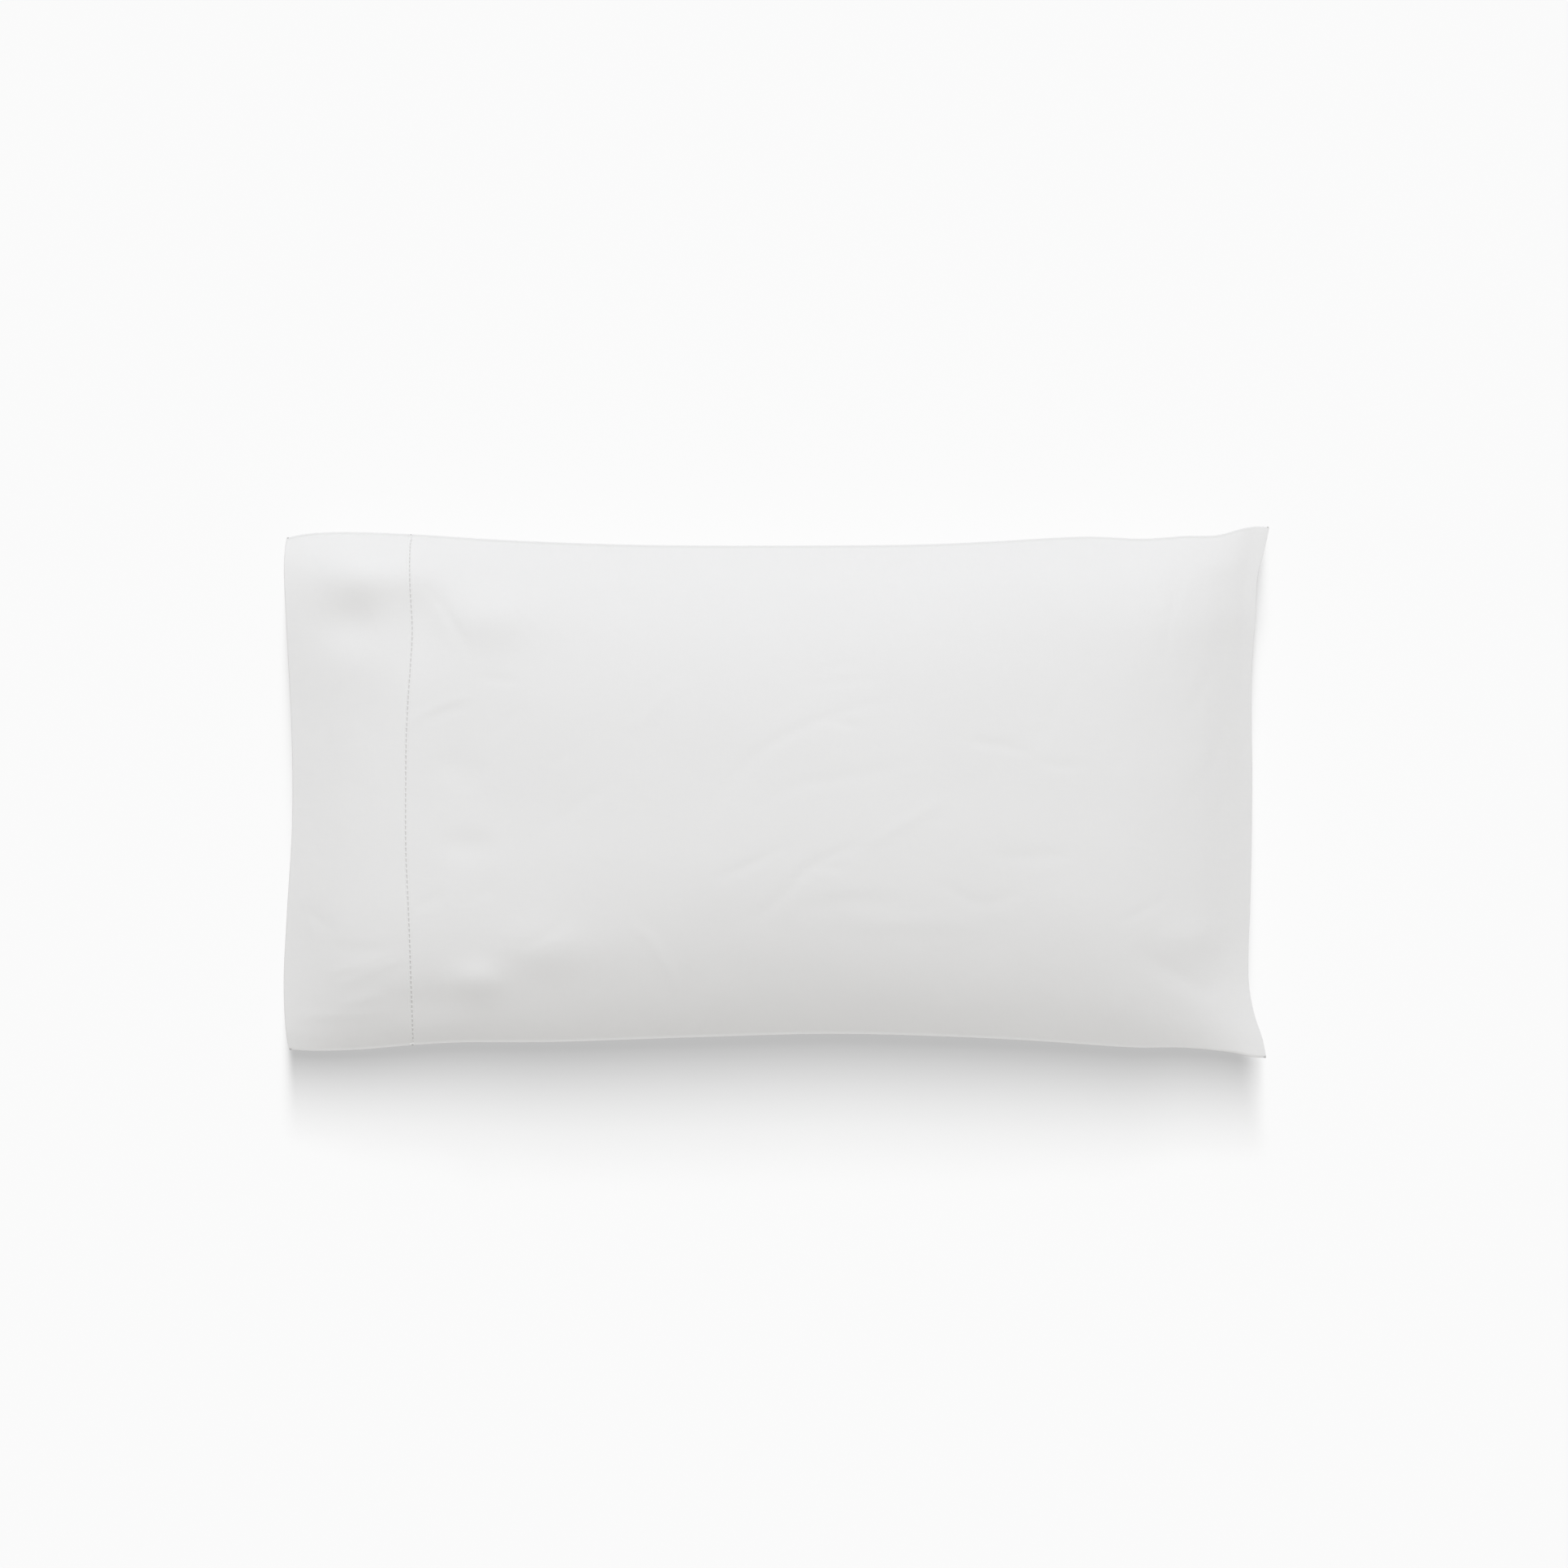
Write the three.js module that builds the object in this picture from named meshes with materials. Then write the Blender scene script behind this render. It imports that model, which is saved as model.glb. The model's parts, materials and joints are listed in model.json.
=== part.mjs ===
// A king-size pillowcase on its pillow, lying face up. The case is one length of cotton, folded at
// the closed end and sewn up both long sides, with a deep hem turned inside round its open mouth.
// The pillow fills it up to the hem, so the case is one filled solid with a hollow cuff.
//
// Millimetres, +Z up. +X runs from the mouth to the closed end, +Y from the front long side to the
// back one, and the origin is on the floor, under the middle of the case's box.
import * as THREE from "three";
import { mergeVertices } from "three/addons/utils/BufferGeometryUtils.js";

// Sizes of the filled case, as it lies. Laid flat it is 940 by 508.
const LENGTH = 917.4; // from the mouth to the tips of the closed end's corners
const WIDTH = 493.8; // across those tips
const SEAM_THICKNESS = 2.4; // a sewn side, and the fold at the closed end
const HEM_THICKNESS = 2.4; // the cuff's wall: the cloth and its turned hem
const FLOOR_SOFTNESS = 9; // height over which the underside curves into the floor

// The pillow's end, seen down the mouth.
const CUFF_DEPTH = 142; // from the mouth to the pillow, in the middle
const CUFF_CORNER_DEPTH = 26; // how much further back the pillow's corners lie
const CUFF_SHARE = 0.955; // the hollow's share of the cuff's width
const CUFF_EDGE = 14; // how sharply the hollow closes at its sides, as an exponent
const PILLOW_BULGE = 30; // how far the pillow's end swells towards the mouth, at mid-height

// How finely the skin is divided.
const LENGTH_STEPS = 52;
const WIDTH_STEPS = 34;
const CUFF_STEPS = 10;
const PILLOW_END_STEPS = 6;
const CROWDING = 0.55; // 0 spaces the steps evenly, and nearer 1 crowds them towards the edges

// The long sides, from the closed end to the mouth. x is the place, in is how far the side is drawn
// in from the case's box, and up is the seam's height over the floor.
const BACK_SIDE = [
  { x: 458.7, in: 0.4, up: 46 },
  { x: 446.6, in: 0, up: 47 },
  { x: 436, in: 1.5, up: 49 },
  { x: 409.6, in: 8.3, up: 52 },
  { x: 379.4, in: 9.1, up: 54 },
  { x: 341.6, in: 11.7, up: 56 },
  { x: 288.8, in: 9.8, up: 57 },
  { x: 198.2, in: 14.4, up: 58 },
  { x: 137.8, in: 17, up: 58 },
  { x: 15, in: 18.2, up: 58 },
  { x: -134, in: 17.4, up: 58 },
  { x: -254.8, in: 12.9, up: 57 },
  { x: -340.1, in: 7.6, up: 54 },
  { x: -405.8, in: 5.3, up: 50 },
  { x: -440, in: 7.2, up: 48 },
  { x: -457.2, in: 10.6, up: 47 },
];
const FRONT_SIDE = [
  { x: 455.6, in: 0, up: 51 },
  { x: 443.6, in: 0.8, up: 53 },
  { x: 424.7, in: 4.8, up: 55 },
  { x: 379.4, in: 9.5, up: 58 },
  { x: 334, in: 9.8, up: 62 },
  { x: 243.5, in: 15.9, up: 66 },
  { x: 152.9, in: 20.4, up: 68 },
  { x: 50, in: 22.7, up: 68 },
  { x: -73.6, in: 19.6, up: 68 },
  { x: -209.5, in: 15.1, up: 66 },
  { x: -295, in: 14.5, up: 62 },
  { x: -337.9, in: 12.1, up: 58 },
  { x: -390.7, in: 7.6, up: 53 },
  { x: -430, in: 6.4, up: 50 },
  { x: -454.9, in: 7.6, up: 48 },
];

// The ends, from the front side to the back one, without their corners. The mouth's height is that
// of the line midway between its two lips.
const CLOSED_END = [
  { y: -229.5, in: 6.8, up: 52 },
  { y: -206.9, in: 14.3, up: 53 },
  { y: -180, in: 19.4, up: 54 },
  { y: -155, in: 20.2, up: 55 },
  { y: -93.6, in: 18.1, up: 57 },
  { y: 12.1, in: 16.6, up: 58 },
  { y: 90, in: 17.2, up: 57 },
  { y: 135, in: 15.7, up: 56 },
  { y: 165, in: 13.1, up: 55 },
  { y: 200.8, in: 11.3, up: 52 },
  { y: 226.5, in: 4.5, up: 48 },
];
const MOUTH = [
  { y: -222, in: 1.5, up: 49 },
  { y: -177, in: 0, up: 49 },
  { y: -108.7, in: 3.8, up: 49 },
  { y: -40.8, in: 8.3, up: 48.5 },
  { y: 12.1, in: 9.1, up: 48 },
  { y: 64.9, in: 7.9, up: 47.5 },
  { y: 155.5, in: 3, up: 47 },
  { y: 218, in: 0, up: 47 },
];

// Sections across the case, by their place on its middle line. rise and drop are how far the upper
// and the under cloth stand off the plane of the seams there, before the floor flattens the
// underside. front and back are the exponents of the section's two halves: 2 is a parabola, and more
// is squarer.
const SECTIONS = [
  { x: 442, rise: 0, drop: 0, front: 2.4, back: 2.6 },
  { x: 432, rise: 5, drop: 13, front: 2.6, back: 3 },
  { x: 415, rise: 14, drop: 31, front: 2.9, back: 3.5 },
  { x: 391, rise: 27, drop: 55, front: 3.2, back: 4 },
  { x: 358, rise: 39, drop: 80, front: 3.4, back: 4.2 },
  { x: 315, rise: 48, drop: 101, front: 3.2, back: 4 },
  { x: 250, rise: 54, drop: 114, front: 2.9, back: 3.2 },
  { x: 140, rise: 59, drop: 122, front: 2.85, back: 2.7 },
  { x: -20, rise: 64, drop: 119, front: 2.85, back: 2.6 },
  { x: -130, rise: 61, drop: 111, front: 3, back: 2.7 },
  { x: -199, rise: 57, drop: 96, front: 3.3, back: 3 },
  { x: -247, rise: 53, drop: 78, front: 3.6, back: 3.4 },
  { x: -290, rise: 51, drop: 68, front: 4, back: 4.2 },
  { x: -323, rise: 50, drop: 64, front: 4.1, back: 5.6 },
  { x: -353, rise: 49, drop: 62, front: 4.1, back: 6.6 },
  { x: -376, rise: 47, drop: 60, front: 4, back: 8 },
  { x: -398, rise: 43, drop: 57, front: 3.9, back: 8 },
  { x: -421, rise: 36, drop: 54, front: 3.8, back: 7 },
  { x: -450, rise: 26, drop: 52, front: 3.5, back: 6 },
];

// Soft bumps and hollows of the upper cloth round the pillow's end: the middle of each, its reach
// along and across the case, and how far it stands up.
const SWELLS = [
  { name: "front corner of the pillow", x: -278, y: -176, along: 24, across: 17, rise: 7 },
  { name: "end of the pillow's front edge", x: -215, y: -148, along: 46, across: 26, rise: 5 },
  { name: "sag before the front corner", x: -325, y: -200, along: 40, across: 18, rise: -5 },
  { name: "back corner of the pillow", x: -262, y: 166, along: 38, across: 26, rise: 8 },
  { name: "valley beside the back corner", x: -332, y: 160, along: 28, across: 44, rise: -9 },
  { name: "hollow in the back of the cuff", x: -393, y: 156, along: 30, across: 25, rise: -7 },
  { name: "ridge behind it", x: -372, y: 208, along: 48, across: 24, rise: 11 },
  { name: "sag at the front of the mouth", x: -452, y: -175, along: 40, across: 75, rise: -7 },
  { name: "dent over the pillow's end", x: -284, y: -50, along: 20, across: 13, rise: -1.8 },
];

// The four curves of the outline. Each is run at even distances, because a seam doesn't stretch.
function sideCurve(rows, sign) {
  const place = ({ x, in: drawn, up }) => new THREE.Vector3(x, sign * (WIDTH / 2 - drawn), up);
  return new THREE.CatmullRomCurve3(rows.map(place), false, "centripetal");
}

function endCurve(rows, sign, frontCorner, backCorner) {
  const place = ({ y, in: drawn, up }) => new THREE.Vector3(sign * (LENGTH / 2 - drawn), y, up);
  const points = [frontCorner, ...rows.map(place), backCorner];
  return new THREE.CatmullRomCurve3(points, false, "centripetal");
}

const front = sideCurve(FRONT_SIDE, -1);
const back = sideCurve(BACK_SIDE, 1);
const closedEnd = endCurve(CLOSED_END, 1, front.points[0], back.points[0]);
const mouth = endCurve(MOUTH, -1, front.points.at(-1), back.points.at(-1));

// The seams' plane: the surface that the outline alone spans, a Coons patch of its four curves.
// u runs from 0 at the closed end to 1 at the mouth, and v from -1 at the front side to 1 at the back.
function seamPlane(u, v) {
  const s = (v + 1) / 2;
  const sides = front.getPointAt(u).lerp(back.getPointAt(u), s);
  const ends = closedEnd.getPointAt(s).lerp(mouth.getPointAt(s), u);
  const closedCorners = closedEnd.points[0].clone().lerp(closedEnd.points.at(-1), s);
  const mouthCorners = mouth.points[0].clone().lerp(mouth.points.at(-1), s);
  return sides.add(ends).sub(closedCorners.lerp(mouthCorners, u));
}

// A column of the sections' table at one place along the case. Between two rows it is a cubic, whose
// slope at each row is the mean slope of the rows on either side.
function section(column, x) {
  const last = SECTIONS.length - 1;
  const slope = (i) => {
    const before = SECTIONS[Math.max(i - 1, 0)];
    const after = SECTIONS[Math.min(i + 1, last)];
    return (after[column] - before[column]) / (after.x - before.x);
  };
  let i = 0;
  while (i < last - 1 && x < SECTIONS[i + 1].x) i += 1;
  const [here, next] = [SECTIONS[i], SECTIONS[i + 1]];
  const span = next.x - here.x;
  const t = THREE.MathUtils.clamp((x - here.x) / span, 0, 1);
  const start = here[column] * (1 + 2 * t) + slope(i) * span * t;
  const end = next[column] * (3 - 2 * t) - slope(i + 1) * span * (1 - t);
  return start * (1 - t) ** 2 + end * t ** 2;
}

function swell(x, y) {
  const bump = ({ x: middleX, y: middleY, along, across, rise }) => {
    const distance = ((x - middleX) / along) ** 2 + ((y - middleY) / across) ** 2;
    return rise * Math.exp(-distance);
  };
  return SWELLS.reduce((sum, row) => sum + bump(row), 0);
}

// What lies lower than the floor is pressed up to it, with a parabola where it leaves the floor.
function onFloor(z) {
  if (z <= -FLOOR_SOFTNESS) return 0;
  if (z >= FLOOR_SOFTNESS) return z;
  return (z + FLOOR_SOFTNESS) ** 2 / (4 * FLOOR_SOFTNESS);
}

// How far into the section a place across the case is: 1 on its middle line, and 0 at its sides.
function sectionShare(middle, v) {
  return 1 - Math.abs(v) ** section(v < 0 ? "front" : "back", middle);
}

// The outside of the upper cloth and of the under cloth.
function upperCloth(u, v) {
  const point = seamPlane(u, v);
  const middle = seamPlane(u, 0).x;
  const height = section("rise", middle) + swell(point.x, point.y);
  point.z += SEAM_THICKNESS / 2 + sectionShare(middle, v) * height;
  return point;
}

function underCloth(u, v) {
  const point = seamPlane(u, v);
  const middle = seamPlane(u, 0).x;
  const depth = sectionShare(middle, v) * section("drop", middle);
  point.z = onFloor(point.z - SEAM_THICKNESS / 2 - depth);
  return point;
}

// The inside of the cuff. r runs from 0 at the mouth to 1 at the pillow, and v as above, from one
// side of the hollow to the other, where its two layers meet.
function cuffInside(r, v, cloth, sign) {
  const depth = r * (CUFF_DEPTH + CUFF_CORNER_DEPTH * v ** 4);
  const u = 1 - depth / LENGTH;
  const inV = v * CUFF_SHARE;
  const point = cloth(u, inV);
  const seam = seamPlane(u, inV).z;
  const clear = Math.max(sign * (point.z - seam) - HEM_THICKNESS, 0);
  point.z = seam + sign * clear * (1 - Math.abs(v) ** CUFF_EDGE);
  return point;
}

const cuffTop = (r, v) => cuffInside(r, v, upperCloth, 1);
const cuffBottom = (r, v) => cuffInside(r, v, underCloth, -1);

// The pillow's end, bottom to top.
function pillowEnd(w, v) {
  const point = cuffBottom(1, v).lerp(cuffTop(1, v), w);
  point.x -= PILLOW_BULGE * 4 * w * (1 - w) * (1 - v * v);
  return point;
}

// Steps from 0 to 1, or from -1 to 1, closer together towards both ends.
function crowded(t) {
  return THREE.MathUtils.lerp(t, (1 - Math.cos(Math.PI * t)) / 2, CROWDING);
}
const along = (t) => crowded(t);
const across = (t) => 2 * crowded(t) - 1;

// The skin is put together from patches. A patch's point(r, c) takes r and c from 0 to 1, and the
// patch faces the way that a screw moves when it is turned from r to c.
const corners = [];

function addTriangle(a, b, c) {
  if (a.equals(b) || b.equals(c) || c.equals(a)) return;
  corners.push(a, b, c);
}

function addPatch(rows, columns, point) {
  for (let i = 0; i < rows; i += 1) {
    for (let j = 0; j < columns; j += 1) {
      const at = (di, dj) => point((i + di) / rows, (j + dj) / columns);
      const [a, b, c, d] = [at(0, 0), at(1, 0), at(1, 1), at(0, 1)];
      addTriangle(a, b, c);
      addTriangle(a, c, d);
    }
  }
}

function between(outer, inner) {
  return (r, c) => (c === 0 ? outer(r) : inner(r));
}

function buildSkin() {
  addPatch(WIDTH_STEPS, LENGTH_STEPS, (r, c) => upperCloth(along(c), across(r)));
  addPatch(LENGTH_STEPS, WIDTH_STEPS, (r, c) => underCloth(along(r), across(c)));

  // The edges of the two long sides and of the closed end.
  const edge = (u, v, w) => (w === 0 ? underCloth(u, v) : upperCloth(u, v));
  addPatch(1, LENGTH_STEPS, (r, c) => edge(along(c), -1, r));
  addPatch(LENGTH_STEPS, 1, (r, c) => edge(along(r), 1, c));
  addPatch(WIDTH_STEPS, 1, (r, c) => edge(0, across(r), c));

  // The two lips of the mouth, and the ends between them.
  const upperLip = between((r) => upperCloth(1, across(r)), (r) => cuffTop(0, across(r)));
  const lowerLip = between((r) => underCloth(1, across(1 - r)), (r) => cuffBottom(0, across(1 - r)));
  addPatch(WIDTH_STEPS, 1, upperLip);
  addPatch(WIDTH_STEPS, 1, lowerLip);
  addTriangle(upperCloth(1, 1), underCloth(1, 1), cuffTop(0, 1));
  addTriangle(underCloth(1, -1), upperCloth(1, -1), cuffTop(0, -1));

  // The hollow cuff and the pillow's end.
  addPatch(CUFF_STEPS, WIDTH_STEPS, (r, c) => cuffTop(1 - r, across(c)));
  addPatch(WIDTH_STEPS, CUFF_STEPS, (r, c) => cuffBottom(1 - c, across(r)));
  addPatch(PILLOW_END_STEPS, WIDTH_STEPS, (r, c) => pillowEnd(r, across(c)));
}

buildSkin();
const skin = mergeVertices(new THREE.BufferGeometry().setFromPoints(corners));
skin.computeVertexNormals();

const cotton = new THREE.MeshStandardMaterial({ color: 0xf4f4f2, roughness: 0.9, metalness: 0 });
const pillowcase = new THREE.Mesh(skin, cotton);
pillowcase.name = "pillowcase";

const part = new THREE.Group();
part.add(pillowcase);

export default part;
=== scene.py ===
import json
import math

import bmesh
import bpy
import numpy as np
from bpy.props import FloatProperty, FloatVectorProperty, IntProperty, PointerProperty
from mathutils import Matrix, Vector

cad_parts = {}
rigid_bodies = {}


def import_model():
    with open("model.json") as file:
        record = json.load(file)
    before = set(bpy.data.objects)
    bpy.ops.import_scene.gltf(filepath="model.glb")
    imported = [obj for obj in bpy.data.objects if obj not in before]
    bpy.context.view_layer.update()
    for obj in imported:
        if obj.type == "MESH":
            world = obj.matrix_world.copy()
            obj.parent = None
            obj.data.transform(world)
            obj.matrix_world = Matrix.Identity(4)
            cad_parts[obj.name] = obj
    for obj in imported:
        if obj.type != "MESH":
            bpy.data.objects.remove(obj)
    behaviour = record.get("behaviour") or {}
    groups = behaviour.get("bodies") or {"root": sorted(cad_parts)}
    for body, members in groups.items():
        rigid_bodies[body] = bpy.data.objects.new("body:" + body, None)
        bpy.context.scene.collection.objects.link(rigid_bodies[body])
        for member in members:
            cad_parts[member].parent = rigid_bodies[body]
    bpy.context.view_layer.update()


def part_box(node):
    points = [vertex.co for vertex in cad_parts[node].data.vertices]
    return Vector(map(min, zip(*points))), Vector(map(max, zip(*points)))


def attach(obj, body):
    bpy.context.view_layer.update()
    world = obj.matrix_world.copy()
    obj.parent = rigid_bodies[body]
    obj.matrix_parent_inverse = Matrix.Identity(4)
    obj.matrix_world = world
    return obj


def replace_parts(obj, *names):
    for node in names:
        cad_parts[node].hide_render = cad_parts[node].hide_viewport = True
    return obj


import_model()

bl_info = {
    "name": "Filled Pillowcase",
    "version": (1, 0, 0),
    "blender": (4, 5, 0),
    "location": "View3D > Sidebar > Pillowcase",
    "description": "Builds a filled cotton pillowcase with a hemstitched cuff, its stage and its light",
    "category": "Add Mesh",
}

NODE = "pillowcase"
BODY = "root"
MM = 0.001

# The filled case's box, in millimetres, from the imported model. The tables and curves below are
# in millimetres too, while the settings, meshes and materials are in metres.
LOW, HIGH = (np.array(corner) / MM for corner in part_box(NODE))
LENGTH, WIDTH = (HIGH - LOW)[:2]

# The long sides, from the closed end to the mouth: the place along the case, how far the side is
# drawn in from the box, and the seam's height over the floor.
BACK_SIDE = (
    (458.7, 0.4, 46),
    (446.6, 0, 47),
    (436, 1.5, 49),
    (409.6, 8.3, 52),
    (379.4, 9.1, 54),
    (341.6, 11.7, 56),
    (288.8, 9.8, 57),
    (198.2, 14.4, 58),
    (137.8, 17, 58),
    (15, 18.2, 58),
    (-134, 17.4, 58),
    (-254.8, 12.9, 57),
    (-340.1, 7.6, 54),
    (-405.8, 5.3, 50),
    (-440, 7.2, 48),
    (-457.2, 10.6, 47),
)
FRONT_SIDE = (
    (455.6, 0, 51),
    (443.6, 0.8, 53),
    (424.7, 4.8, 55),
    (379.4, 9.5, 58),
    (334, 9.8, 62),
    (243.5, 15.9, 66),
    (152.9, 20.4, 68),
    (50, 22.7, 68),
    (-73.6, 19.6, 68),
    (-209.5, 15.1, 66),
    (-295, 14.5, 62),
    (-337.9, 12.1, 58),
    (-390.7, 7.6, 53),
    (-430, 6.4, 50),
    (-454.9, 7.6, 48),
)

# The two ends, from the front side to the back one, without their corners: the place across, how
# far the end is drawn in from the box, and its height.
CLOSED_END = (
    (-229.5, 6.8, 52),
    (-206.9, 14.3, 53),
    (-180, 19.4, 54),
    (-155, 20.2, 55),
    (-93.6, 18.1, 57),
    (12.1, 16.6, 58),
    (90, 17.2, 57),
    (135, 15.7, 56),
    (165, 13.1, 55),
    (200.8, 11.3, 52),
    (226.5, 4.5, 48),
)
MOUTH = (
    (-222, 1.5, 49),
    (-177, 0, 49),
    (-108.7, 3.8, 49),
    (-40.8, 8.3, 48.5),
    (12.1, 9.1, 48),
    (64.9, 7.9, 47.5),
    (155.5, 3, 47),
    (218, 0, 47),
)

# The line of the hemstitch on the upper cloth, from the back side to the front one.
HEM_COLUMNS = ("y", "x")
HEM_LINE = (
    (240, -339.8),
    (229, -341.2),
    (183, -339.8),
    (149, -338),
    (115, -339.6),
    (81, -341.8),
    (48, -343.2),
    (14, -343.6),
    (-51, -343.6),
    (-85, -342.3),
    (-119, -340.8),
    (-153, -339.8),
    (-187, -339.2),
    (-220, -338.8),
    (-236, -338.9),
)

# Sections across the case, by place on its middle line: how far the upper and the under cloth stand
# off the plane of the seams, and the exponents of its front and back halves (2 is a parabola, and
# more is squarer).
SECTION_COLUMNS = ("x", "rise", "drop", "front", "back")
SECTIONS = (
    (442, 0, 0, 2.4, 2.6),
    (432, 5, 13, 2.6, 3),
    (415, 14, 31, 2.9, 3.5),
    (391, 27, 55, 3.2, 4),
    (358, 39, 80, 3.4, 4.2),
    (315, 48, 101, 3.2, 4),
    (250, 54, 114, 2.9, 3.2),
    (140, 59, 122, 2.85, 2.7),
    (-20, 64, 119, 2.85, 2.6),
    (-130, 61, 111, 3, 2.7),
    (-199, 57, 96, 3.3, 3),
    (-247, 53, 78, 3.6, 3.4),
    (-290, 51, 68, 4, 4.2),
    (-323, 50, 64, 4.1, 5.6),
    (-353, 49, 62, 4.1, 6.6),
    (-376, 47, 60, 4, 8),
    (-398, 43, 57, 3.9, 8),
    (-421, 36, 54, 3.8, 7),
    (-450, 26, 52, 3.5, 6),
)

# Soft swells and hollows of the upper cloth: the middle of each, its reach along and across the
# case, and how far it stands up.
SWELLS = {
    "front corner of the pillow": (-278, -176, 24, 17, 7),
    "end of the pillow's front edge": (-215, -148, 46, 26, 5),
    "sag before the front corner": (-325, -200, 40, 18, -5),
    "back corner of the pillow": (-262, 166, 38, 26, 8),
    "valley beside the back corner": (-332, 160, 28, 44, -9),
    "hollow in the back of the cuff": (-393, 156, 30, 25, -7),
    "ridge behind it": (-372, 208, 48, 24, 11),
    "sag at the front of the mouth": (-452, -175, 40, 75, -7),
    "dent over the pillow's end": (-284, -50, 20, 13, -1.8),
    "lesser dent beside it": (-296, 24, 15, 15, -1.1),
    "small swell by the closed end": (395, -128, 22, 16, 1.2),
}

# Faint creases of the upper cloth, each along a curve through its points: its half width and its
# depth, which is negative for a ridge.
CREASES = {
    # Over the middle of the pillow.
    "long curved crease": (5, 0.68, ((-69, -34), (-50, -1), (-18, 35), (22, 59), (60, 74), (116, 88))),
    "its branch": (4, 0.47, ((40, 66), (62, 63), (82, 57))),
    "fold behind it": (5, 0.38, ((20, 99), (60, 102), (98, 105))),
    "fold behind that": (5, 0.29, ((26, 109), (52, 115), (80, 121))),
    "arc before it": (6, 0.39, ((-24, -17), (10, 3), (77, 16), (134, 30))),
    "long slant": (5, 0.7, ((-30, -122), (-6, -106), (12, -88), (30, -69), (56, -56), (80, -46))),
    "its ridge": (4.5, -0.56, ((80, -51), (115, -30), (160, -4))),
    "its fork": (5, 0.43, ((32, -69), (48, -70), (66, -69))),
    "short slant": (4, 0.56, ((-58, -81), (-25, -67), (8, -49))),
    "ridge behind the slants": (4.5, -0.56, ((-136, 54), (-112, 80), (-88, 107))),
    "low arc": (6, 0.45, ((142, -79), (191, -103), (230, -90))),
    "level fold": (7, 0.52, ((192, -59), (232, -60), (274, -59))),
    "level ridge": (9, -0.52, ((55, -122), (123, -120), (196, -122))),
    "level trough": (8, 0.49, ((12, -111), (59, -101), (118, -103))),
    "crease towards the closed end": (4.5, 0.56, ((170, 47), (200, 44), (236, 36))),
    "its end": (4.5, 0.43, ((236, 31), (259, 24), (287, 25))),
    "side crease": (4.5, 0.51, ((280, 118), (262, 86), (239, 38))),
    # Towards the closed end.
    "crease to the back ear": (5, 0.64, ((396, 232), (377, 206), (366, 169), (354, 102))),
    "crease under that ear": (6, 0.61, ((402, 118), (390, 86), (378, 62))),
    "crease along the closed end": (6, 0.5, ((415, 59), (398, 14), (377, -17))),
    "short end crease": (4, 0.38, ((326, 46), (317, 31), (308, 18))),
    "slant by the front ear": (4, 0.47, ((364, -94), (342, -108), (313, -123))),
    "fold to the front ear": (10, 1.12, ((330, -146), (361, -164), (410, -192))),
    "pleat by the front ear": (4.5, -0.74, ((321, -188), (314, -207), (302, -228))),
    "hip of the front ear": (14, -0.99, ((352, -134), (384, -139), (414, -146))),
    # Along the front side.
    "front pleat": (5, -0.68, ((-132, -120), (-112, -145), (-88, -189))),
    "front edge pleat": (4.5, -0.6, ((-50, -165), (-58, -200), (-66, -225))),
    "lesser edge pleat": (4, -0.54, ((162, -190), (156, -204), (148, -221))),
    # Round the pillow's end.
    "wedge": (4, -0.64, ((-340, 61), (-322, 73), (-300, 84), (-282, 89))),
    "trough under the wedge": (5, 0.54, ((-325, 64), (-304, 75), (-280, 80))),
    "line of the valley": (4.5, 0.64, ((-334, 196), (-311, 173), (-296, 147), (-279, 120))),
    "line beside it": (4, 0.43, ((-325, 185), (-308, 164), (-292, 137))),
    "branch of the valley": (5, 0.74, ((-276, 105), (-258, 104), (-240, 102))),
    "end crease": (4.5, 0.64, ((-270, 31), (-277, 16), (-288, 1))),
    "end slant": (4, 0.51, ((-229, 84), (-247, 68), (-268, 43))),
    "second slant": (4, 0.43, ((-184, 43), (-197, 33), (-211, 24))),
    "third slant": (4, 0.51, ((-152, 12), (-172, -3), (-212, -34))),
    "low slant": (4, 0.56, ((-306, -91), (-321, -100), (-336, -108))),
    "low arc by the end": (4.5, 0.38, ((-260, -86), (-273, -94), (-287, -103))),
    "arc over the shoulder": (5, 0.51, ((-187, -107), (-203, -126), (-244, -146))),
    # On the cuff.
    "crease of the cuff": (4, 0.64, ((-391, 111), (-412, 78), (-423, 46))),
    "front pleat of the cuff": (4.5, -0.68, ((-344, -152), (-379, -166), (-410, -181))),
    "pleat behind it": (4.5, -0.54, ((-358, -147), (-383, -159), (-420, -168))),
    "trough of the cuff": (6, 0.53, ((-420, -144), (-394, -146), (-364, -145))),
    "corner crease of the cuff": (4, 0.43, ((-442, -108), (-425, -119), (-408, -131))),
    "front fold of the cuff": (5, -0.6, ((-450, -211), (-428, -208), (-398, -207), (-360, -203))),
    "lesser fold of the cuff": (5, -0.74, ((-412, -200), (-388, -193), (-368, -187))),
}

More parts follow.
